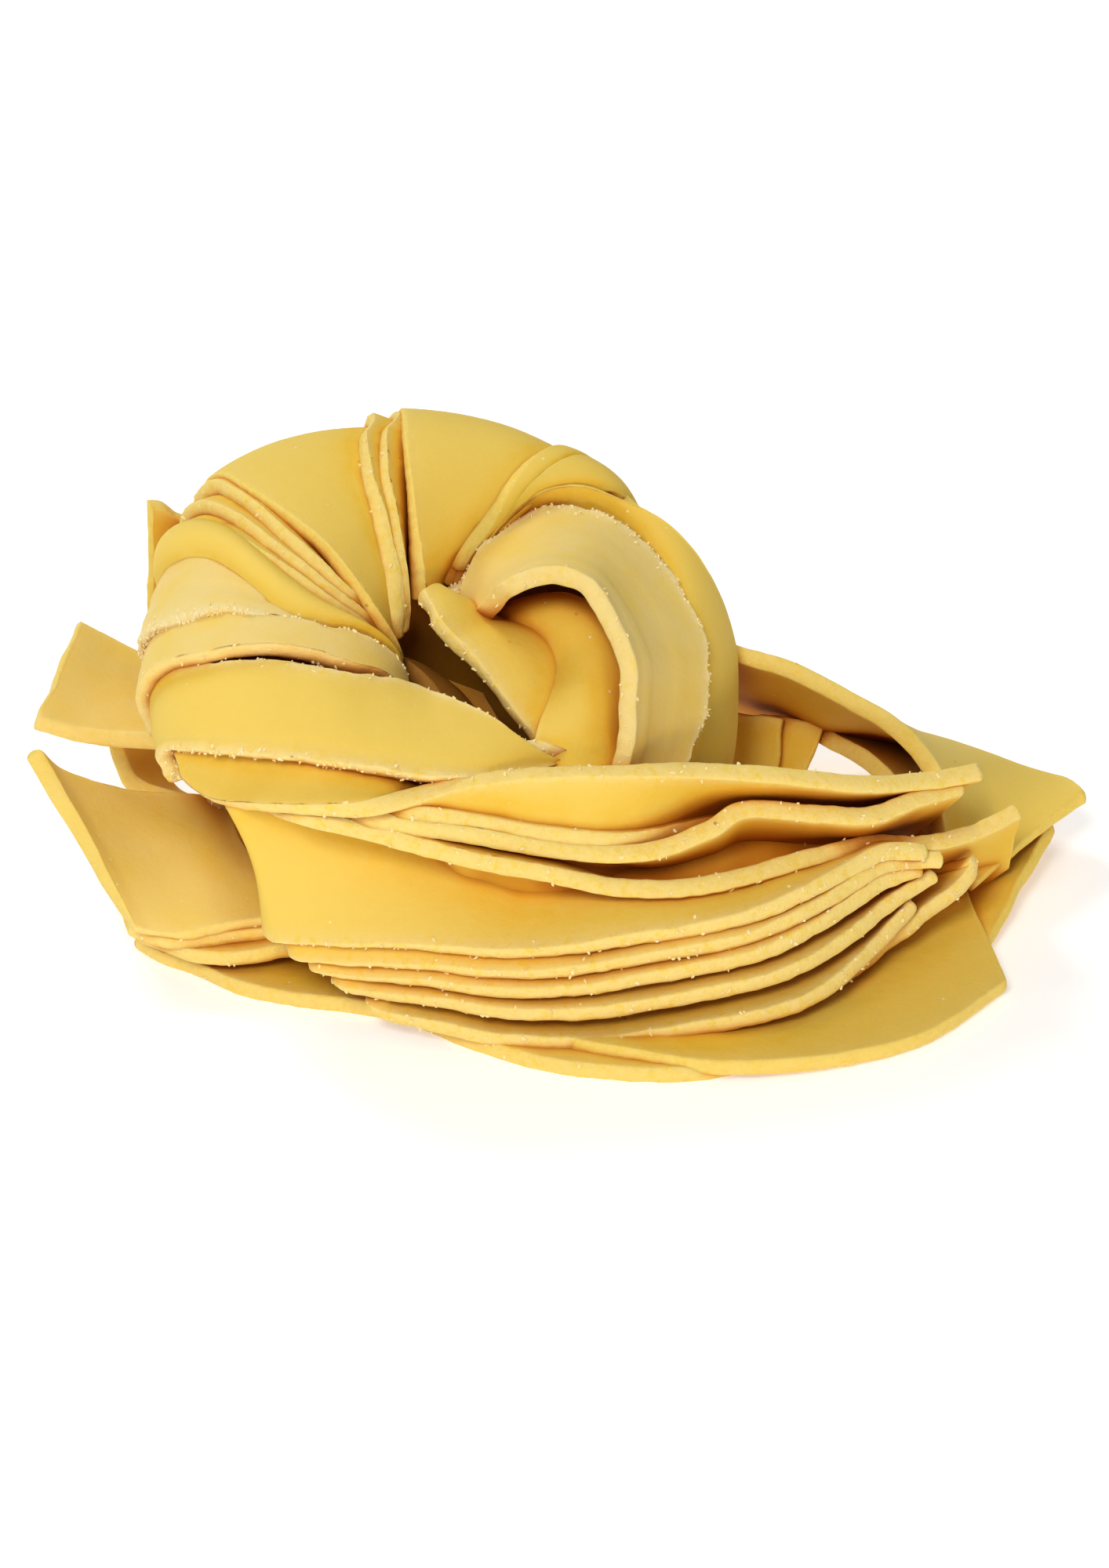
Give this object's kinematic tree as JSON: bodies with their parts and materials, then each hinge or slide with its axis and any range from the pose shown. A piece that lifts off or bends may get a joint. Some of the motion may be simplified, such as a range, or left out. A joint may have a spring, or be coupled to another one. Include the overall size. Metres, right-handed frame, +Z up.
{
  "type": "dry pasta nest",
  "caption": "Nest of broad dried egg noodles: a tilted coil of twisted ribbons with an open eye, a fan of stacked ribbon ends in front and loose tails at both sides.",
  "frame": {"origin": "centre of the overall box on the surface that the nest lies on", "axes": "+X along the nest's length, from the loose ends at the left to the long tails at the right; +Y from the fan of stacked ends to the back of the coil; +Z up"},
  "size_m": [0.1006, 0.0582, 0.0443],
  "materials": {
    "dried_dough": "matte, finely pitted egg dough with rough cut edges"
  },
  "bodies": {
    "root": {"pasta_nest": "dried_dough"}
  },
  "joints": []
}
